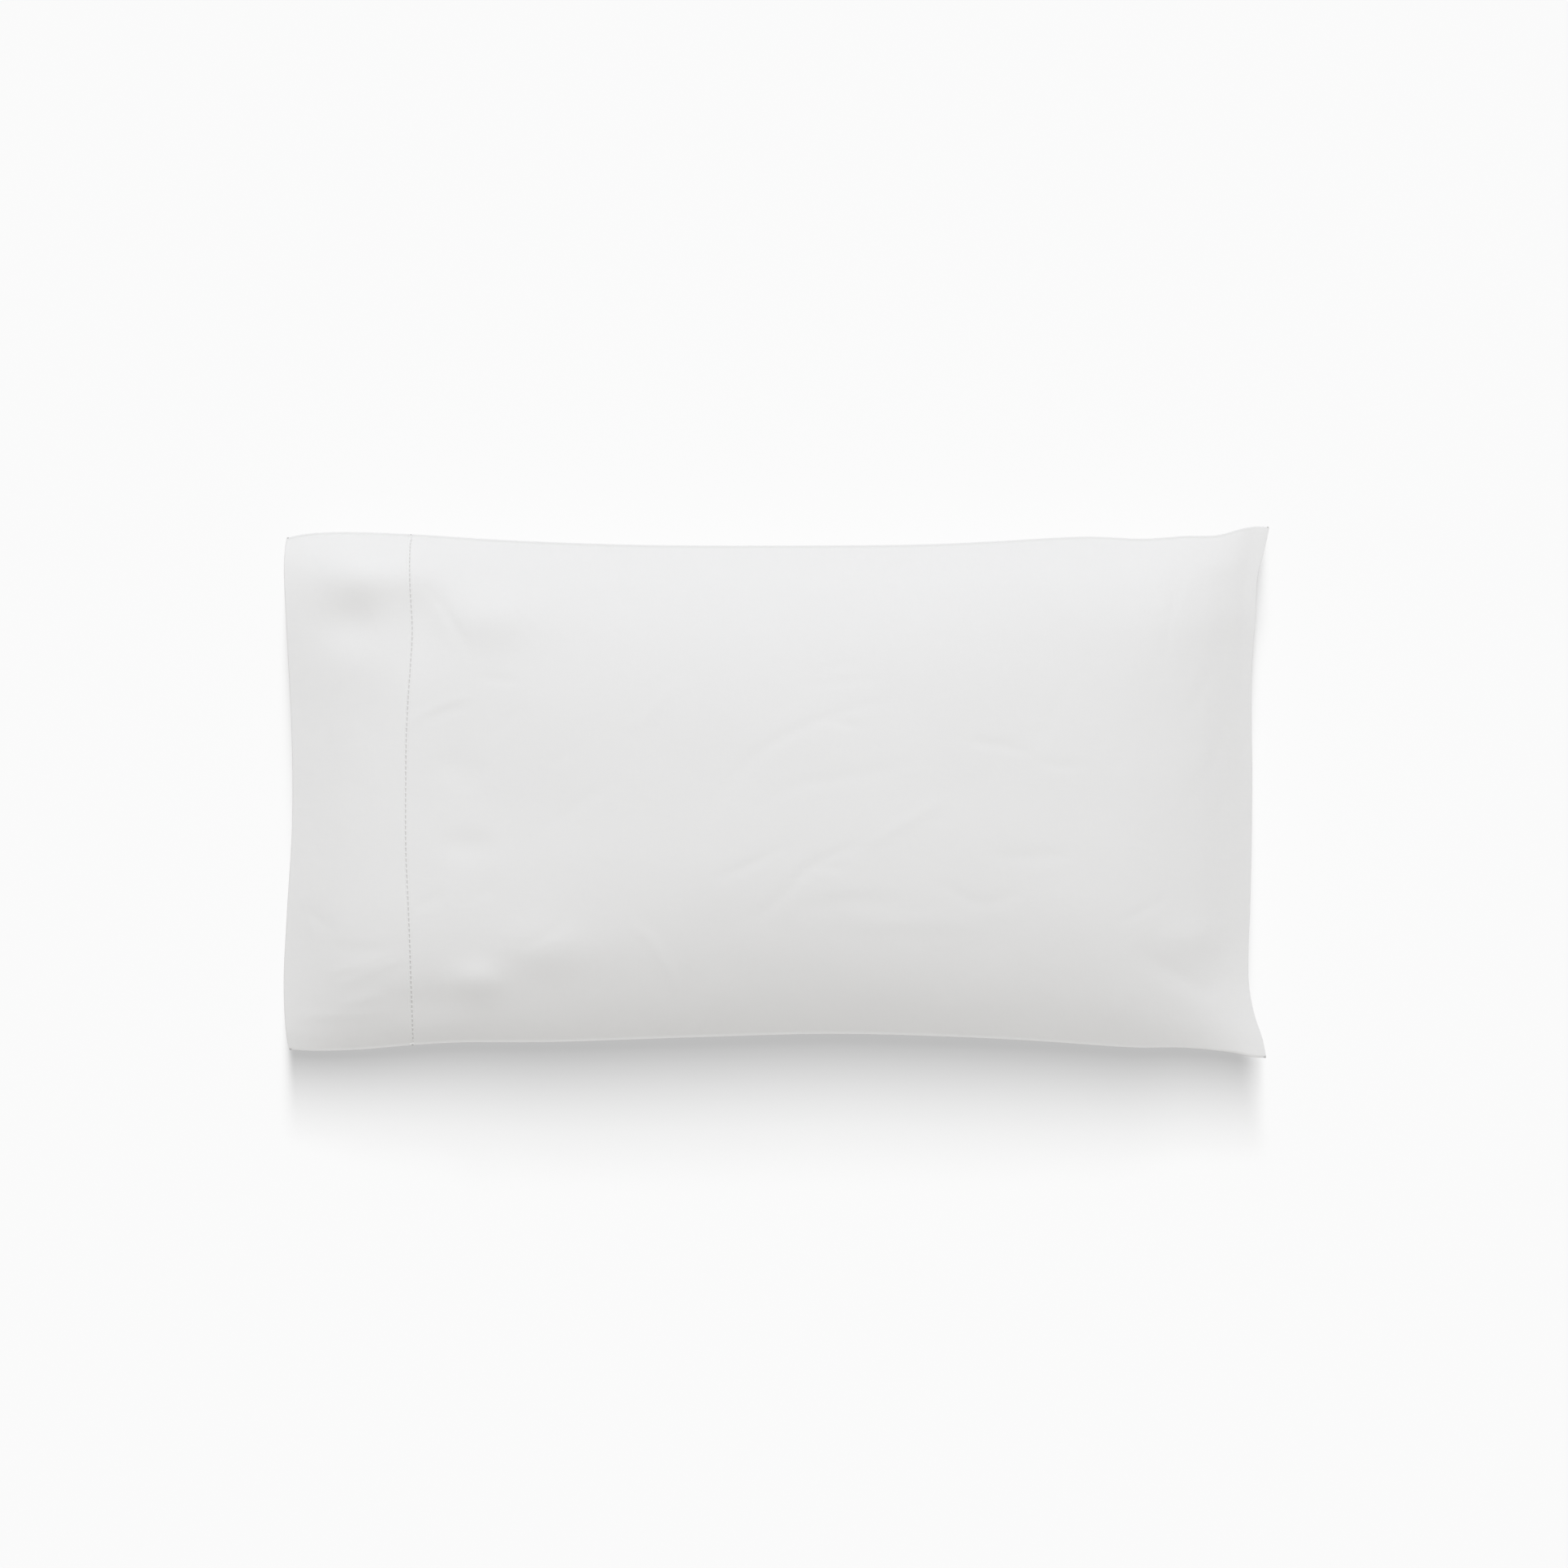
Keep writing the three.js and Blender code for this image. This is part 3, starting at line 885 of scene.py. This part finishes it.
def rounded_edge(low, high, outward, steps):
    """A rounded edge from one cloth to the other: a half ellipse, standing out from both."""
    turn = np.linspace(0, np.pi, steps)[:, None, None]
    middle = (low + high) / 2
    half = (high - low) / 2
    return middle - half * np.cos(turn) + outward * np.sin(turn)


def case_grids(sizes):
    """The grids of the case's closed skin: its two layers, its edges, its cuff and the pillow's end.

    The pillow's end is ruled from the under cuff to the upper one, and swells towards the mouth
    by a parabola upwards times a parabola across.
    """
    edge_steps = 5
    cuff_steps = 26
    end_steps = 11
    end_bulge = 30
    lip_roundness = 0.45
    upper = Cloth(sizes, 1)
    under = Cloth(sizes, -1)
    u = crowd(sizes.along_steps, 0, 1, places=(0, 0.004, upper.hem_share, 1), reach=0.006, gain=5)
    v = crowd(sizes.across_steps, -1, 1, places=(-1, 1), reach=0.012, gain=5)
    top = upper.skin(u, v[:, None])
    bottom = under.skin(u, v[:, None])

    outward = np.array((0, 0.5 * sizes.seam_thickness / MM, 0))
    front_edge = rounded_edge(bottom[0], top[0], -outward, edge_steps)
    back_edge = rounded_edge(bottom[-1], top[-1], outward, edge_steps)
    closed_edge = rounded_edge(bottom[:, 0], top[:, 0], 0 * outward, edge_steps)

    # The corners' columns are shared by two edges, so neither stands out there.
    for rounded in (front_edge, back_edge):
        for column in (0, -1):
            rounded[:, column] = np.linspace(rounded[0, column], rounded[-1, column], edge_steps)
    for row in (0, -1):
        closed_edge[:, row] = np.linspace(bottom[row, 0], top[row, 0], edge_steps)

    past_hem = (sizes.hem_depth + 3 * MM) / sizes.cuff_depth
    r = crowd(cuff_steps, 0, 1, places=(0, past_hem), reach=0.02, gain=4)
    up = np.linspace(0, 1, end_steps)[:, None]
    cuff_top = cuff_inside(r[:, None], v, upper, sizes)
    cuff_bottom = cuff_inside(r[:, None], v, under, sizes)
    pillow_end = cuff_bottom[-1] * (1 - up[..., None]) + cuff_top[-1] * up[..., None]
    pillow_end[..., 0] -= end_bulge * 4 * up * (1 - up) * (1 - v**2)

    # The mouth's edge runs right round: along the upper lip, down the back corner, and home.
    outer = np.concatenate([top[:, -1], back_edge[::-1, -1], bottom[::-1, -1], front_edge[:, -1]])
    inner = np.concatenate([cuff_top[0], np.repeat(cuff_top[0, -1:], edge_steps, 0),
                            cuff_bottom[0, ::-1], np.repeat(cuff_top[0, :1], edge_steps, 0)])
    lip = np.stack([outer, (outer + inner) / 2 - (lip_roundness, 0, 0), inner], 1)
    return [
        (top, 0),
        (bottom.transpose(1, 0, 2), 0),
        (front_edge, 0),
        (back_edge.transpose(1, 0, 2), 0),
        (closed_edge.transpose(1, 0, 2), 0),
        (lip, 0),
        (cuff_top[::-1], 0),
        (cuff_bottom[::-1].transpose(1, 0, 2), 0),
        (pillow_end, 1),
    ]


def hemstitch_grids(cloth, sizes):
    """A narrow raised ladder along the hem of one cloth: long holes with threads between them.

    Its height over the cloth falls to under it at both margins by a fourth power, and drops in
    each hole by a bell across times a square wave along, softened at its ends. Where there is no
    hole, a thread stands up by a wider bell.
    """
    steps_in_hole = 10
    half = 2.6
    margin_drop = 0.33
    proud = 0.03
    hole_depth = 0.7
    hole_reach = 0.5
    hole_start = 0.55
    hole_steepness = 2.2
    thread_rise = 0.16
    thread_reach = 0.9
    painted_shade_width = 0.17 * half
    thickness = 1.6
    step = 0.002
    samples = 4001
    fine = np.linspace(-1, 1, samples)
    line = cloth.skin(cloth.hem_share, fine, groove=False)
    run = run_along(line)
    count = round(run[-1] / (sizes.stitch_pitch / MM))
    rows = steps_in_hole * count
    v = np.interp(np.linspace(0, run[-1], rows + 1), run, fine)[:, None]
    one_side = (0.08, 0.16, 0.2, 0.26, 0.36, 0.5, 0.7, 1)
    aside = half * np.array([-share for share in reversed(one_side)] + [0] + list(one_side))
    ahead = cloth.skin(cloth.hem_share + step, v, groove=False)
    behind = cloth.skin(cloth.hem_share - step, v, groove=False)
    speed = np.linalg.norm(ahead - behind, axis=2) / (2 * step)
    points = cloth.skin(cloth.hem_share + aside / speed, v, groove=False)
    normal = np.cross(np.gradient(points, axis=0), np.gradient(points, axis=1))
    normal *= cloth.sign / np.linalg.norm(normal, axis=2, keepdims=True)
    beat = np.cos(2 * np.pi * np.linspace(0, count, rows + 1))[:, None]
    hole = np.clip(0.5 - (beat - hole_start) * hole_steepness, 0, 1)
    height = proud - margin_drop * (aside / half) ** 4 - hole_depth * hole * bell(aside, hole_reach)
    height = height + thread_rise * (1 - hole) * bell(aside, thread_reach)
    top = points + normal * height[..., None]
    base = points - normal * thickness
    # The faces in the middle of each hole take the second material, whose darker colour is painted
    # shade.
    inside = (np.abs(aside[1:] + aside[:-1]) / 2 < painted_shade_width) & (hole[1:] + hole[:-1] > 1)
    grids = [
        top,
        base[:, ::-1],
        np.stack([base[0], top[0]]),
        np.stack([top[-1], base[-1]]),
        np.stack([base[:, 0], top[:, 0]], 1),
        np.stack([top[:, -1], base[:, -1]], 1),
    ]
    if cloth.sign < 0:
        grids = [grid[:, ::-1] for grid in grids]
        inside = inside[:, ::-1]
    return list(zip(grids, [inside, 0, 0, 0, 0, 0]))


def knot_grid(middle, heading, length, radius):
    """A short whipped knot: a tube whose radius closes at both ends as an ellipse, with a twist."""
    heading = np.asarray(heading, float) / np.linalg.norm(heading)
    side = np.cross((0, 0, 1), heading)
    turn = np.linspace(2 * np.pi, 0, 17)
    t = np.linspace(0, 1, 21)[:, None]
    bulge = np.sqrt(np.clip(1 - (2 * t - 1) ** 2, 0, 1))
    twist = 1 + 0.1 * np.sin(12 * np.pi * t + 2 * turn)
    girth = radius * bulge * twist
    out = np.cos(turn)[:, None] * side + np.sin(turn)[:, None] * np.array((0, 0, 1))
    return middle + (t[..., None] - 0.5) * length * heading + girth[..., None] * out


class PILLOWCASE_OT_case(bpy.types.Operator):
    """Adds the filled case, with its seams, its hollow cuff and the pillow's end."""

    bl_idname = "pillowcase.case"
    bl_label = "Add the Case"
    bl_options = {"REGISTER", "UNDO"}

    def execute(self, context):
        sizes = context.scene.case_sizes
        finish = context.scene.cloth_finish
        cotton = woven_cotton("bleached_percale", finish.cotton, finish)
        ticking = woven_cotton("pillow_ticking", finish.ticking, finish, rumple=3.0)
        case = make_piece("filled_case", case_grids(sizes), [cotton, ticking])
        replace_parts(finish_piece(case), NODE)
        return {"FINISHED"}


class PILLOWCASE_OT_hemstitch(bpy.types.Operator):
    """Adds the row of hemstitch round the cuff."""

    bl_idname = "pillowcase.hemstitch"
    bl_label = "Add the Hemstitch"
    bl_options = {"REGISTER", "UNDO"}

    def execute(self, context):
        sizes = context.scene.case_sizes
        finish = context.scene.cloth_finish
        cotton = bpy.data.materials.get("bleached_percale")
        if cotton is None:
            raise RuntimeError("the hemstitch is worked in the case's cloth, so the case comes first")
        # The holes' darker cloth is painted shade.
        shade = woven_cotton("hemstitch_hole_painted_shade", finish.hole_painted_shade, finish)
        for name, sign in (("hemstitch_upper", 1), ("hemstitch_under", -1)):
            finish_piece(make_piece(name, hemstitch_grids(Cloth(sizes, sign), sizes), [cotton, shade]))
        return {"FINISHED"}


class PILLOWCASE_OT_knots(bpy.types.Operator):
    """Adds the thread's knots, where the side seams and the hemstitch end. Their grey is painted shade.
    """

    bl_idname = "pillowcase.knots"
    bl_label = "Add the Seam Knots"
    bl_options = {"REGISTER", "UNDO"}

    def execute(self, context):
        sizes = context.scene.case_sizes
        finish = context.scene.cloth_finish
        # The knots' grey is painted shade, as their thread is white.
        thread = spun_thread("seam_thread_painted_shade", finish.thread)
        inset = 0.0015
        step = 0.001
        hem = Cloth(sizes, 1).hem_share
        for side, v in (("front", -1), ("back", 1)):
            for place, u in (("ear", inset), ("hem", hem), ("mouth", 1 - inset)):
                ends = seam_plane(np.array([u - step, u + step]), v)
                grid = knot_grid(ends.mean(0), ends[1] - ends[0], length=2.6, radius=0.8)
                finish_piece(make_piece(f"knot_{side}_{place}", [(grid, 0)], [thread]))
        return {"FINISHED"}


class PILLOWCASE_OT_stage(bpy.types.Operator):
    """Adds the floor, the light and the camera straight overhead."""

    bl_idname = "pillowcase.stage"
    bl_label = "Add the Stage"
    bl_options = {"REGISTER", "UNDO"}

    def execute(self, context):
        studio = context.scene.studio_setup
        add_floor(studio)
        add_light(context.scene, studio)
        add_camera(context.scene, studio)
        return {"FINISHED"}


def add_floor(studio):
    """A wide square of paper that the case lies on."""
    half = 12.0
    mesh = bpy.data.meshes.new("floor")
    corners = [(-half, -half, 0), (half, -half, 0), (half, half, 0), (-half, half, 0)]
    mesh.from_pydata(corners, [], [(0, 1, 2, 3)])
    mesh.materials.append(studio_floor(studio.floor, studio.floor_glow))
    floor = add_object("floor", mesh)


def add_lamp(name, strength, colour, spread, lean, lit):
    """A distant soft lamp, which leans back from overhead and lights only the given collection."""
    distance = 2
    data = bpy.data.lights.new(name, "SUN")
    data.energy = strength
    data.color = colour
    data.angle = spread
    lamp = add_object(name, data)
    lamp.location = (0, distance * math.sin(lean), distance * math.cos(lean))
    lamp.rotation_euler = (-lean, 0, 0)
    lamp.light_linking.receiver_collection = lit


def add_light(scene, studio):
    """A broad soft key behind the case and a wide fill overhead, for the case alone.

    The floor glows as a light table does, and a strip of narrower lamps, one behind the other,
    gives it the case's long soft shadow. Each is stronger by one over the cosine of its lean,
    so all light the floor alike.
    """
    case_lit = bpy.data.collections.new("lit_by_key_and_fill")
    floor_lit = bpy.data.collections.new("lit_by_the_strip")
    for piece in scene.objects:
        if piece.type == "MESH":
            lit = floor_lit if piece.name == "floor" else case_lit
            lit.objects.link(piece)
    add_lamp("key_lamp", studio.key_strength, studio.key_colour, studio.key_spread,
             studio.key_lean, case_lit)
    add_lamp("fill_lamp", studio.fill_strength, studio.fill_colour, studio.fill_spread, 0, case_lit)
    leans = np.linspace(studio.strip_start, studio.strip_end, studio.strip_lamps)
    for number, lean in enumerate(leans):
        strength = studio.strip_strength / studio.strip_lamps / math.cos(lean)
        add_lamp(f"strip_lamp_{number}", strength, (1, 1, 1), studio.strip_spread, lean, floor_lit)
    world = bpy.data.worlds.new("studio")
    scene.world = world
    world.use_nodes = True
    background = world.node_tree.nodes["Background"]
    background.inputs["Color"].default_value = (1, 1, 1, 1)
    background.inputs["Strength"].default_value = studio.backdrop
    world.cycles_visibility.diffuse = False
    world.cycles_visibility.glossy = False
    world.cycles_visibility.transmission = False
    scene.view_settings.view_transform = "Standard"


def add_camera(scene, studio):
    """A long lens straight overhead, a little off the middle of the case."""
    off_x = 6.4
    off_y = 7.55
    seam_height = 62.0
    data = bpy.data.cameras.new("overhead")
    data.lens = studio.lens
    data.sensor_width = 36
    camera = add_object("overhead", data)
    reach = studio.view_width * studio.lens / data.sensor_width
    camera.location = (off_x * MM, off_y * MM, seam_height * MM + reach)
    scene.camera = camera


class PILLOWCASE_PT_panel(bpy.types.Panel):
    """Lists the pieces of the case, and the sizes and colours that they are made from."""

    bl_label = "Pillowcase"
    bl_idname = "PILLOWCASE_PT_panel"
    bl_space_type = "VIEW_3D"
    bl_region_type = "UI"
    bl_category = "Pillowcase"

    def draw(self, context):
        for group in SETTINGS:
            settings = getattr(context.scene, group)
            box = self.layout.box()
            for name in settings.bl_rna.properties.keys():
                if name not in ("rna_type", "name"):
                    box.prop(settings, name)
        for operator in OPERATORS:
            self.layout.operator(operator.bl_idname)


SETTINGS = {"case_sizes": CaseSizes, "cloth_finish": ClothFinish, "studio_setup": StudioSetup}
OPERATORS = (
    PILLOWCASE_OT_case,
    PILLOWCASE_OT_hemstitch,
    PILLOWCASE_OT_knots,
    PILLOWCASE_OT_stage,
)
CLASSES = (*SETTINGS.values(), *OPERATORS, PILLOWCASE_PT_panel)


def register():
    """Registers the settings, the operators and the panel."""
    for kind in CLASSES:
        bpy.utils.register_class(kind)
    for name, kind in SETTINGS.items():
        setattr(bpy.types.Scene, name, PointerProperty(type=kind))


def unregister():
    """Takes them away again."""
    for name in SETTINGS:
        delattr(bpy.types.Scene, name)
    for kind in reversed(CLASSES):
        bpy.utils.unregister_class(kind)


def main():
    """Registers the settings and builds every piece and the stage."""
    register()
    bpy.ops.pillowcase.case()
    bpy.ops.pillowcase.hemstitch()
    bpy.ops.pillowcase.knots()
    bpy.ops.pillowcase.stage()


if __name__ == "__main__":
    main()
